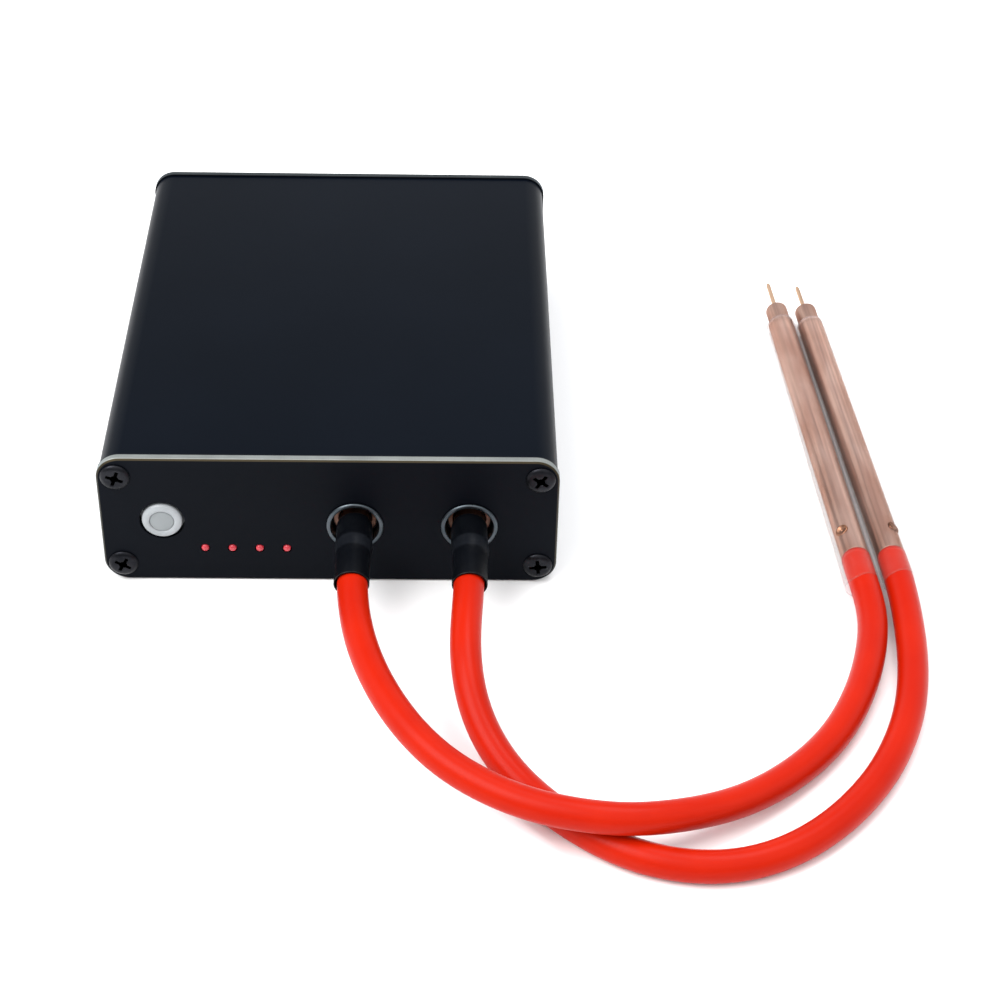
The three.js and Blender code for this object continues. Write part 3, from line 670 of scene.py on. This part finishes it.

# %% [markdown]
# On the front plate the bare edge is pale metal with fine cutter marks, and its small chamfer
# is a darker brown. The coating creeps a little round the inner side, which leaves a dark seam
# against the shell. The rear plate was coated after cutting, so only a thin worn line shows on it.

# %% Finish: black plate with a cut edge
PLATE_CORNER = 0.0045
PLATE_TINT = (0.82, 0.91, 1.0, 1)
CHAMFER_INNER = -0.0004
FLAT_EDGE = (-0.00012, -0.00004)  # the chamfer ends and the flat cut begins
SEAM = (0.00022, 0.0003)  # how far the coating creeps round, from the shell's end
FADE = 0.00004
EDGE_METALLIC = 0.85
SHELL_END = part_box("case_shell")[1].y


def black_plate(name, node, pale, worn, shown_from):
    low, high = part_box(node)
    outline = {"Half Size": ((high.x - low.x) / 2, 1.0, (high.z - low.z) / 2),
               "Centre": (0, 0, (low.z + high.z) / 2), "Corner": PLATE_CORNER}
    material, tree, shader, place = new_finish(name, Specular_IOR_Level=0.06, Specular_Tint=PLATE_TINT)
    here = place["Object"]
    distance = use_group(tree, "Rounded Outline", {"Vector": here, **outline}).outputs["Distance"]
    bare = ramp(tree, distance, shown_from, shown_from + FADE)
    flat_edge = ramp(tree, distance, *FLAT_EDGE)
    coat = use_group(tree, "Patches", {"Vector": here, "Scale": 30.0, "Tone A": (0.0016, 0.0021, 0.0038, 1),
                                       "Tone B": (0.0022, 0.0028, 0.0050, 1)})
    metal = use_group(tree, "Patches", {"Vector": here, "Scale": 150.0, "Tone A": pale,
                                        "Tone B": tuple(0.8 * c for c in pale[:3]) + (1,)})
    # The chamfer takes the darker brown tone given as worn.
    edge = mix_colour(tree, flat_edge, worn, metal.outputs["Color"])
    grain = use_group(tree, "Fine Grain", {"Vector": here, "Scale": 4200.0, "Low": 0.42, "High": 0.54})
    marks = use_group(tree, "Long Grain", {"Vector": here, "Stretch": (1.0, 0.03, 1.0), "Scale": 4000.0,
                                           "Low": 0.4, "High": 0.6})
    along = calc(tree, "ABSOLUTE", put(tree, "SeparateXYZ", {"Vector": here}).outputs["Y"], 0.0)
    past_seam = ramp(tree, along, SHELL_END + SEAM[0], SHELL_END + SEAM[1])
    bare = calc(tree, "MULTIPLY", bare, past_seam)
    fill(tree, shader, {
        "Base Color": mix_colour(tree, bare, coat.outputs["Color"], edge),
        "Metallic": calc(tree, "MULTIPLY", bare, EDGE_METALLIC),
        "Roughness": mix_value(tree, bare, grain.outputs["Value"], marks.outputs["Value"])})
    add_bump(tree, shader, grain.outputs["Height"], 0.15, 0.00003)
    return material


print("black plate ready")

# %% [markdown]
# Screws, rings, port and hidden cans are plain metal. They differ in tone, in roughness and in
# the direction of their grain, so one recipe makes them all.


# %% Finish: plain metal
def plain_metal(name, tone_a, tone_b, low, high, stretch, scale):
    material, tree, shader, place = new_finish(name, Metallic=1.0)
    tone = use_group(tree, "Patches", {"Vector": place["Object"], "Scale": 260.0,
                                       "Tone A": tone_a, "Tone B": tone_b})
    lines = use_group(tree, "Long Grain", {"Vector": place["Object"], "Stretch": stretch, "Scale": scale,
                                           "Low": low, "High": high})
    fill(tree, shader, {"Base Color": tone.outputs["Color"], "Roughness": lines.outputs["Value"]})
    add_bump(tree, shader, lines.outputs["Height"], 0.15, 0.00003)
    return material


print("plain metal ready")

# %% [markdown]
# The screws are blackened steel, and the inside of each cross recess is painted black, as painted
# shade for the deep recess. A point is in a recess if it is close to a screw's middle line and
# below the top of the head. All eight screws stand mirrored about the middle of the case, so
# folding the place with absolute values lets one test serve them all.

# %% Finish: blackened screws
RECESS_RADIUS = 0.00195
RECESS_EDGE = 0.00005
RECESS_START = 0.00022  # below the top of the head
RECESS_FADE = 0.0001
RECESS_PAINTED_SHADE = (0.0005, 0.0005, 0.0005, 1)


def blackened_screws():
    material = plain_metal("black_oxide", (0.011, 0.0115, 0.014, 1), (0.022, 0.0225, 0.026, 1), 0.26, 0.4,
                           (1.0, 0.3, 1.0), 2500.0)
    tree = material.node_tree
    shader = tree.nodes["Principled BSDF"]
    low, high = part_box("front_screw_1")
    middle = (low + high) / 2
    head_top = -low.y  # the case's middle is at Y = 0
    case_middle = (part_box("case_shell")[0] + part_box("case_shell")[1]) / 2
    from_middle = put(tree, "VectorMath", {0: tree.nodes.new("ShaderNodeTexCoord").outputs["Object"],
                                           1: tuple(case_middle)}, operation="SUBTRACT").outputs["Vector"]
    folded = put(tree, "VectorMath", {0: from_middle}, operation="ABSOLUTE").outputs["Vector"]
    offset = (abs(middle.x - case_middle.x), 0, abs(middle.z - case_middle.z))
    from_screw = put(tree, "VectorMath", {0: folded, 1: offset}, operation="SUBTRACT").outputs["Vector"]
    flat = put(tree, "VectorMath", {0: from_screw, 1: (1, 0, 1)}, operation="MULTIPLY").outputs["Vector"]
    radius = put(tree, "VectorMath", {0: flat}, operation="LENGTH").outputs["Value"]
    depth = put(tree, "SeparateXYZ", {"Vector": from_screw}).outputs["Y"]
    inside = ramp(tree, radius, RECESS_RADIUS, RECESS_RADIUS - RECESS_EDGE)
    sunk = ramp(tree, depth, head_top - RECESS_START + RECESS_FADE, head_top - RECESS_START)
    # Painted shade: the inside of each recess is drawn black.
    painted_recess_shade = calc(tree, "MULTIPLY", inside, sunk)
    worn = shader.inputs["Base Color"].links[0].from_socket
    tree.links.new(mix_colour(tree, painted_recess_shade, worn, RECESS_PAINTED_SHADE), shader.inputs["Base Color"])
    return material


print("blackened screws ready")

# %% [markdown]
# Copper is never one colour. Drawn and brushed, it runs from pink where it is clean to brown
# where it has been handled, with the grain along the rod, and it is darker towards the tail.
# The rods lie a few degrees off the Y axis, so the pattern is turned with them. The bare nose
# ahead of the sleeve is darker, as nothing keeps the air off it.
# The tint keeps the flanks, seen at a slant, from going white.

# %% Finish: brushed copper
PEN_TURN = math.radians(3.95)
COPPER_TINT = (0.5, 0.42, 0.4, 1)
STAIN_STRETCH = (1.0, 0.25, 1.0)
ROD_TAIL_Y = -0.048
ROD_FULL_TONE_Y = 0.03
TAIL_SHADE = 0.82
HEAD_END_SHADE = 1.04
NOSE_START_Y = 0.0304
NOSE_FULL_Y = 0.0314


def brushed_copper(name, clean, brown, low, high, nose=1.0):
    material, tree, shader, place = new_finish(name, Metallic=1.0, Specular_Tint=COPPER_TINT)
    turned = put(tree, "VectorRotate", {"Vector": place["Object"], "Angle": -PEN_TURN},
                 rotation_type="Z_AXIS")
    in_line = turned.outputs["Vector"]
    drawn = put(tree, "VectorMath", {0: in_line, 1: STAIN_STRETCH}, operation="MULTIPLY").outputs["Vector"]
    stain = use_group(tree, "Patches", {"Vector": drawn, "Scale": 190.0, "Tone A": clean, "Tone B": brown})
    lines = use_group(tree, "Long Grain", {"Vector": in_line, "Stretch": (1.0, 0.012, 1.0),
                                           "Scale": 2600.0, "Low": low, "High": high})
    streak = ramp(tree, lines.outputs["Height"], 0.3, 0.7, 0.78, 1.12)
    along = put(tree, "SeparateXYZ", {"Vector": place["Object"]}).outputs["Y"]
    # The rod is darker towards the tail.
    from_tail = ramp(tree, along, ROD_TAIL_Y, ROD_FULL_TONE_Y, TAIL_SHADE, HEAD_END_SHADE)
    shade = calc(tree, "MULTIPLY", streak, from_tail)
    shade = calc(tree, "MULTIPLY", shade, ramp(tree, along, NOSE_START_Y, NOSE_FULL_Y, 1.0, nose))
    colour = put(tree, "VectorMath", {0: stain.outputs["Color"], "Scale": shade}, operation="SCALE")
    fill(tree, shader, {"Base Color": colour.outputs["Vector"], "Roughness": lines.outputs["Value"]})
    add_bump(tree, shader, lines.outputs["Height"], 0.25, 0.00005)
    return material


print("brushed copper ready")

# %% [markdown]
# The leads are silicone rubber: a deep, even orange-red with slow changes of tone, a very fine
# grain and a soft shine along the ridge.


# %% Finish: red silicone
def red_silicone():
    material, tree, shader, place = new_finish("red_silicone", Specular_IOR_Level=0.095)
    tone = use_group(tree, "Patches", {"Vector": place["Object"], "Scale": 70.0,
                                       "Tone A": (0.41, 0.0092, 0.0008, 1),
                                       "Tone B": (0.45, 0.0118, 0.0012, 1)})
    grain = use_group(tree, "Fine Grain", {"Vector": place["Object"], "Scale": 2600.0,
                                           "Low": 0.3, "High": 0.42})
    fill(tree, shader, {"Base Color": tone.outputs["Color"], "Roughness": grain.outputs["Value"]})
    add_bump(tree, shader, grain.outputs["Height"], 0.1, 0.00005)
    return material


print("red silicone ready")

# %% [markdown]
# Rubber and moulded plastic share one recipe: a tone with slow patches, fine grain in the
# roughness, and a shallow bump.


# %% Finish: rubber and plastic
def moulded(name, tone_a, tone_b, low, high, scale, bump, specular):
    material, tree, shader, place = new_finish(name, Specular_IOR_Level=specular)
    tone = use_group(tree, "Patches", {"Vector": place["Object"], "Scale": 120.0,
                                       "Tone A": tone_a, "Tone B": tone_b})
    grain = use_group(tree, "Fine Grain", {"Vector": place["Object"], "Scale": scale,
                                           "Low": low, "High": high})
    fill(tree, shader, {"Base Color": tone.outputs["Color"], "Roughness": grain.outputs["Value"]})
    add_bump(tree, shader, grain.outputs["Height"], bump, 0.00005)
    return material


print("moulded ready")

# %% [markdown]
# The boots are heat-shrink: the rubber recipe, with a greyer belt just past the shoulder. The belt
# is a painted reflection of the sky on the shoulder's slope, broken up by slow patches.

# %% Finish: heat-shrink
BELT_START = -0.0582
BELT_END = -0.061
BELT_FADE = 0.0004
BELT_REFLECTION_TONE = (0.0062, 0.0074, 0.0100, 1)


def heatshrink():
    material = moulded("heatshrink_black", (0.0010, 0.0014, 0.0024, 1), (0.0017, 0.0022, 0.0035, 1),
                       0.3, 0.4, 1700.0, 0.04, 0.16)
    tree = material.node_tree
    shader = tree.nodes["Principled BSDF"]
    black = shader.inputs["Base Color"].links[0].from_socket
    object_place = tree.nodes.new("ShaderNodeTexCoord").outputs["Object"]
    along = put(tree, "SeparateXYZ", {"Vector": object_place}).outputs["Y"]
    cloud = use_group(tree, "Patches", {"Vector": object_place, "Scale": 420.0}).outputs["Mask"]
    belt = calc(tree, "MULTIPLY", ramp(tree, along, BELT_START + BELT_FADE, BELT_START),
                ramp(tree, along, BELT_END, BELT_END + BELT_FADE))
    # Painted reflection: a greyer belt past the shoulder, where its slope would mirror the sky.
    painted_belt_reflection = calc(tree, "MULTIPLY", belt, mix_value(tree, 0.3, 1.0, cloud))
    tree.links.new(mix_colour(tree, painted_belt_reflection, black, BELT_REFLECTION_TONE), shader.inputs["Base Color"])
    return material


print("heat-shrink ready")

# %% [markdown]
# The sleeves are a clear film, thin enough that light hardly bends in it. So it is made from
# transparency alone: nearly nothing face on, milky where the eye looks along the film, and
# milky again at the two rolled ends. That also keeps the copper under it crisp.

# %% Finish: clear film
FILM_FACE_ON = 0.014
FILM_EDGE_ON = 0.3
FILM_END_HAZE = 0.3
FILM_SCUFF = 0.02
FILM_END = (0.0016, 0.0004)  # along the film, from its cut end


def clear_film():
    material, tree, shader, place = new_finish("clear_film", IOR=1.45, Specular_IOR_Level=0.5)
    # The film's warm brown tone is a painted reflection of the copper beside it; the film itself is clear.
    tone = use_group(tree, "Patches", {"Vector": place["Object"], "Scale": 90.0,
                                       "Tone A": (0.27, 0.19, 0.17, 1), "Tone B": (0.35, 0.27, 0.25, 1)})
    grain = use_group(tree, "Fine Grain", {"Vector": place["Object"], "Scale": 700.0,
                                           "Low": 0.14, "High": 0.3})
    facing = put(tree, "LayerWeight", {"Blend": 0.35}).outputs["Facing"]
    edge_on = calc(tree, "MULTIPLY", calc(tree, "POWER", facing, 2.5), FILM_EDGE_ON)
    along = put(tree, "SeparateXYZ", {"Vector": place["UV"]}).outputs["X"]
    haze = calc(tree, "MULTIPLY", ramp(tree, along, *FILM_END), FILM_END_HAZE)
    scuff = calc(tree, "MULTIPLY", tone.outputs["Mask"], FILM_SCUFF)
    everywhere = calc(tree, "ADD", scuff, FILM_FACE_ON)
    alpha = calc(tree, "ADD", calc(tree, "ADD", edge_on, haze), everywhere)
    fill(tree, shader, {"Base Color": tone.outputs["Color"], "Roughness": grain.outputs["Value"],
                        "Alpha": alpha})
    add_bump(tree, shader, grain.outputs["Height"], 0.2, 0.00006)
    return material


print("clear film ready")

# %% [markdown]
# The indicator lights are small domed lenses, lit dimly from behind. A little of their own
# light on top of a red plastic tone keeps them pinkish and never dark.


# %% Finish: lit lens
def lit_lens():
    material, tree, shader, place = new_finish("lit_lens", Roughness=0.25, Emission_Strength=0.22)
    tone = use_group(tree, "Patches", {"Vector": place["Object"], "Scale": 900.0,
                                       "Tone A": (0.36, 0.018, 0.030, 1),
                                       "Tone B": (0.46, 0.034, 0.048, 1)})
    fill(tree, shader, {"Base Color": tone.outputs["Color"], "Emission Color": tone.outputs["Color"]})
    return material


print("lit lens ready")

# %% [markdown]
# Every engineered piece names the slot that its finish belongs to, so one table from slot to
# finish dresses them all, the hidden ones inside the case included. The rear plate differs from
# its slot in its edge. The socket contacts and plugs take a darker copper, partly aged and partly
# painted shade for the inside of the socket.

# %% Dress every piece
FINISH = {
    "case_satin": dyed_extrusion(),
    "plate_black": black_plate("black_plate", "front_plate", (0.30, 0.315, 0.30, 1),
                               (0.045, 0.036, 0.022, 1), CHAMFER_INNER + 0.00002),
    "screw_black": blackened_screws(),
    "ring_metal": plain_metal("turned_ring", (0.060, 0.075, 0.086, 1), (0.095, 0.112, 0.125, 1),
                              0.25, 0.4, (1.0, 0.05, 1.0), 3000.0),
    "steel": plain_metal("plain_steel", (0.42, 0.43, 0.45, 1), (0.55, 0.56, 0.58, 1), 0.25, 0.4,
                         (1.0, 0.1, 1.0), 2000.0),
    "copper": brushed_copper("brushed_copper", (0.70, 0.47, 0.385, 1), (0.50, 0.28, 0.21, 1), 0.34, 0.5,
                             nose=0.7),
    "needle_copper": brushed_copper("needle_copper", (0.72, 0.50, 0.35, 1), (0.60, 0.40, 0.27, 1),
                                    0.32, 0.44),
    "button_white": moulded("white_button", (0.35, 0.37, 0.385, 1), (0.31, 0.33, 0.34, 1), 0.28, 0.38,
                            1800.0, 0.05, 0.4),
    "button_grey": moulded("grey_button", (0.235, 0.255, 0.262, 1), (0.26, 0.28, 0.287, 1), 0.4, 0.5,
                           2200.0, 0.1, 0.3),
    "light_red": lit_lens(),
    "board_green": moulded("solder_mask", (0.010, 0.085, 0.035, 1), (0.014, 0.105, 0.045, 1), 0.3, 0.45,
                           900.0, 0.1, 0.4),
    "black_plastic": moulded("black_plastic", (0.006, 0.006, 0.007, 1), (0.010, 0.010, 0.012, 1),
                             0.4, 0.55, 2600.0, 0.2, 0.3),
    "pouch_foil": plain_metal("pouch_foil", (0.55, 0.57, 0.60, 1), (0.62, 0.64, 0.67, 1), 0.3, 0.45,
                              (1.0, 1.0, 1.0), 300.0),
    "pad_foam": moulded("pad_foam", (0.02, 0.02, 0.02, 1), (0.04, 0.04, 0.04, 1), 0.85, 0.98, 1500.0,
                        0.8, 0.2),
    "boot_black": heatshrink(),
    "lead_red": red_silicone(),
    "sleeve_clear": clear_film(),
}
AGED_SHADED_COPPER = brushed_copper("aged_shaded_copper", (0.34, 0.20, 0.155, 1), (0.15, 0.08, 0.055, 1), 0.4, 0.55)
SOLDERED_COPPER = brushed_copper("soldered_copper", (0.52, 0.25, 0.14, 1), (0.22, 0.10, 0.06, 1),
                                 0.32, 0.46)
REAR_FINISH = black_plate("black_rear_plate", "rear_plate", (0.055, 0.06, 0.06, 1),
                          (0.004, 0.005, 0.007, 1), -0.00006)

for subpart in frame["record"]["subparts"]:
    mesh = frame["nodes"][subpart["node"]].data
    mesh.materials.clear()
    mesh.materials.append(FINISH[subpart["material_slot"]])
frame["nodes"]["rear_plate"].data.materials[0] = REAR_FINISH
# Painted shade, in part: contacts and plugs take a darker copper, aged and darkened for the inside of the
# socket.
for node, piece in frame["nodes"].items():
    if node.startswith(("socket_contact", "plug_")):
        piece.data.materials[0] = AGED_SHADED_COPPER
new_pieces = [spring] + [piece for group in (leads, boots, sleeves, solder) for piece in group.values()]
for piece in new_pieces:
    piece.data.materials.append(SOLDERED_COPPER if piece in solder.values() else FINISH[piece["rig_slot"]])
print("dressed", len(frame["nodes"]), "engineered pieces and", len(new_pieces), "new ones")

# %% [markdown]
# Machined and moulded edges are never razor sharp. A weld and a narrow bevel, both as
# modifiers, round what is seen without moving any engineered corner, and weighted normals keep
# the flat faces flat. The lights are domes with no edge, so a weld and smooth shading do.

# %% Soften the edges
EDGE_WIDTHS = {
    "case_shell": 0.00012, "front_screw": 0.00005, "rear_screw": 0.00005, "socket_": 0.00004,
    "button_c": 0.00005, "charge_port": 0.00004, "pen_rod": 0.00008, "needle": 0.00003,
    "plug": 0.00004,
}
WELD_REACH = 0.00001
SHARP_FROM = math.radians(32)


def weld_and_smooth(piece):
    piece.modifiers.new("weld", "WELD").merge_threshold = WELD_REACH
    piece.data.shade_smooth()


def soften(piece, width):
    weld_and_smooth(piece)
    bevel = piece.modifiers.new("bevel", "BEVEL")
    bevel.width = width
    bevel.segments = 2
    bevel.limit_method = "ANGLE"
    bevel.angle_limit = SHARP_FROM
    piece.modifiers.new("normals", "WEIGHTED_NORMAL").keep_sharp = True


softened = 0
for node, piece in frame["nodes"].items():
    for start, width in EDGE_WIDTHS.items():
        if node.startswith(start):
            soften(piece, width)
            softened += 1
    if node.startswith("indicator_light"):
        weld_and_smooth(piece)
print(softened, "pieces have softened edges")

# %% [markdown]
# The set is a bright table, as for a catalogue: a pale surface under a white sky, so shadows
# stay faint, and two broad soft lamps. The sky is dark high up behind the case, because the
# satin top mirrors that part, and so gets a slow change of tone from back to front. Low down it
# is greyer all round, and greyer still in front, which leaves the flanks of the leads deeper in
# colour than their ridges.

# %% Table
TABLE_REACH = 3.0


def table():
    corners = [(x * TABLE_REACH, y * TABLE_REACH, 0) for x, y in ((-1, -1), (1, -1), (1, 1), (-1, 1))]
    mesh = bpy.data.meshes.new("table")
    mesh.from_pydata(corners, [], [(0, 1, 2, 3)])
    top = bpy.data.objects.new("table", mesh)
    bpy.context.scene.collection.objects.link(top)
    material, tree, shader, place = new_finish("pale_table", Roughness=0.75, Specular_IOR_Level=0.2)
    tone = use_group(tree, "Patches", {"Vector": place["Object"], "Scale": 3.0,
                                       "Tone A": (0.93, 0.93, 0.935, 1),
                                       "Tone B": (0.94, 0.94, 0.94, 1)})
    fill(tree, shader, {"Base Color": tone.outputs["Color"]})
    mesh.materials.append(material)
    return top


print(table().name, "is", 2 * TABLE_REACH, "m square")

# %% Sky and lamps
SKY_STRENGTH = 1.6
SKY_WHITE = (1.0, 1.0, 1.0, 1)
SKY_DARK = (0.055, 0.08, 0.125, 1)
SKY_FRONT = (0.31, 0.32, 0.34, 1)
SKY_LOW = (0.62, 0.62, 0.63, 1)
# Where each part of the sky starts and is full, as a share of straight up or straight back.
HIGH_UP = (0.46, 0.68)
BEHIND = (0.0, 0.35)
LOW_DOWN = (0.7, 0.4)
IN_FRONT = (-0.1, -0.5)
NEAR_HORIZON = (0.5, 0.1)


def sky():
    world = bpy.data.worlds.new("studio")
    bpy.context.scene.world = world
    world.use_nodes = True
    tree = world.node_tree
    towards = tree.nodes.new("ShaderNodeTexCoord").outputs["Generated"]
    parts = put(tree, "SeparateXYZ", {"Vector": towards}).outputs
    high = ramp(tree, parts["Z"], *HIGH_UP)
    behind = ramp(tree, parts["Y"], *BEHIND)
    low = ramp(tree, parts["Z"], *LOW_DOWN)
    before = ramp(tree, parts["Y"], *IN_FRONT)
    colour = mix_colour(tree, ramp(tree, parts["Z"], *NEAR_HORIZON), SKY_WHITE, SKY_LOW)
    colour = mix_colour(tree, calc(tree, "MULTIPLY", high, behind), colour, SKY_DARK)
    colour = mix_colour(tree, calc(tree, "MULTIPLY", low, before), colour, SKY_FRONT)
    fill(tree, tree.nodes["Background"], {"Color": colour, "Strength": SKY_STRENGTH})


def soft_lamp(name, stand, aim, width, depth, watts):
    data = bpy.data.lights.new(name, "AREA")
    data.shape = "RECTANGLE"
    data.size, data.size_y = width, depth
    data.energy = watts
    lamp = bpy.data.objects.new(name, data)
    lamp.location = stand
    lamp.rotation_euler = (Vector(aim) - Vector(stand)).to_track_quat("-Z", "Y").to_euler()
    bpy.context.scene.collection.objects.link(lamp)
    return lamp


sky()
middle = (0.03, -0.04, 0)
lamps = [soft_lamp("upper_left", (-0.7, -0.4, 1.15), middle, 0.9, 0.9, 18.0),
         soft_lamp("upper_back", (0.3, 0.3, 1.25), middle, 0.6, 0.6, 7.5)]
bpy.context.scene.view_settings.view_transform = "Standard"
print([lamp.name for lamp in lamps])
